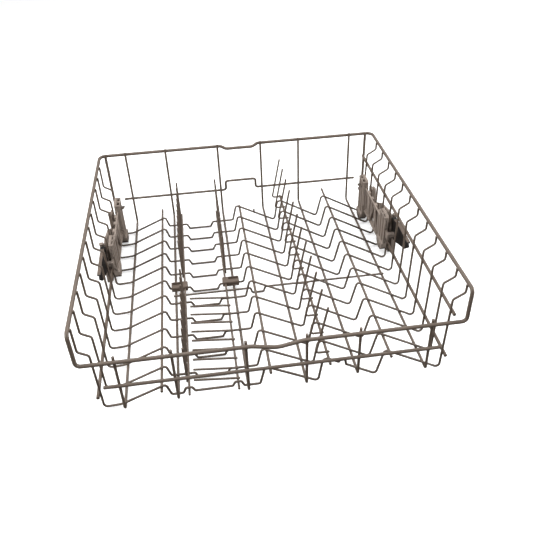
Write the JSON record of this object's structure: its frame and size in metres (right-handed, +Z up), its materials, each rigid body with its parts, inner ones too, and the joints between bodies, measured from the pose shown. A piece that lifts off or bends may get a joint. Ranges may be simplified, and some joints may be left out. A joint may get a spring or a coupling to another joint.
{
  "type": "dishwasher basket",
  "caption": "Upper dishwasher basket of coated wire: stepped side walls, ridged floor, fixed and folding tine rows, and a height adjuster with a release lever on each side.",
  "frame": {"origin": "on the table, under the middle of the rim's outline", "axes": "+X to the right seen from the low front, +Y to the back, +Z up"},
  "size_m": [0.5434, 0.519, 0.158],
  "materials": {
    "coated_wire": "semi-gloss taupe coating",
    "adjuster_plastic": "satin taupe grey",
    "lever_plastic": "satin near-black",
    "clip_plastic": "satin taupe grey"
  },
  "bodies": {
    "basket": {"corner_wire_left": "coated_wire", "corner_wire_right": "coated_wire", "cross_wire_01": "coated_wire", "cross_wire_02": "coated_wire", "cross_wire_03": "coated_wire", "cross_wire_04": "coated_wire", "cross_wire_05": "coated_wire", "cross_wire_06": "coated_wire", "cross_wire_07": "coated_wire", "cross_wire_08": "coated_wire", "cross_wire_09": "coated_wire", "cross_wire_10": "coated_wire", "cross_wire_11": "coated_wire", "cross_wire_12": "coated_wire", "front_rail": "coated_wire", "guide_bars_left": "adjuster_plastic", "guide_bars_right": "adjuster_plastic", "guide_plate_left": "adjuster_plastic", "guide_plate_right": "adjuster_plastic", "long_wire_b": "coated_wire", "long_wire_c": "coated_wire", "long_wire_d": "coated_wire", "long_wire_e": "coated_wire", "long_wire_f": "coated_wire", "long_wire_g": "coated_wire", "middle_wire": "coated_wire", "rear_rail": "coated_wire", "ridge_wire_left": "coated_wire", "ridge_wire_middle": "coated_wire", "ridge_wire_right": "coated_wire", "shaft_clip_1": "clip_plastic", "shaft_clip_2": "clip_plastic", "side_rail_left": "coated_wire", "side_rail_right": "coated_wire", "tine_row_1_back": "coated_wire", "tine_row_2_back": "coated_wire", "tine_row_3": "coated_wire", "top_rim": "coated_wire", "upper_rail_right": "coated_wire"},
    "front_comb_1": {"tine_row_1_front": "coated_wire"},
    "front_comb_2": {"tine_row_2_front": "coated_wire"},
    "carrier_left": {"rail_carrier_left": "adjuster_plastic"},
    "carrier_right": {"rail_carrier_right": "adjuster_plastic"},
    "lever_left": {"release_lever_left": "lever_plastic"},
    "lever_right": {"release_lever_right": "lever_plastic"}
  },
  "joints": [
    {"name": "front_comb_1_fold", "type": "hinge", "parent": "basket", "child": "front_comb_1", "pos_m": [-0.127, -0.12, 0.01538], "axis": [0, 1, 0], "range_deg": [0, 84]},
    {"name": "front_comb_2_fold", "type": "hinge", "parent": "basket", "child": "front_comb_2", "pos_m": [-0.056, -0.12, 0.01538], "axis": [0, 1, 0], "range_deg": [0, 84]},
    {"name": "carrier_left_height", "type": "slide", "parent": "basket", "child": "carrier_left", "axis": [0, 0, 1], "range_m": [0, 0.04]},
    {"name": "carrier_right_height", "type": "slide", "parent": "basket", "child": "carrier_right", "axis": [0, 0, 1], "range_m": [0, 0.04]},
    {"name": "lever_left_release", "type": "hinge", "parent": "basket", "child": "lever_left", "pos_m": [-0.25556, 0.02797, 0.058], "axis": [1, 0, 0], "range_deg": [0, 8], "stiffness_Nm_per_rad": 0.06, "springref_deg": -11.46},
    {"name": "lever_right_release", "type": "hinge", "parent": "basket", "child": "lever_right", "pos_m": [0.25361, 0.02797, 0.058], "axis": [1, 0, 0], "range_deg": [0, 8], "stiffness_Nm_per_rad": 0.06, "springref_deg": -11.46}
  ]
}
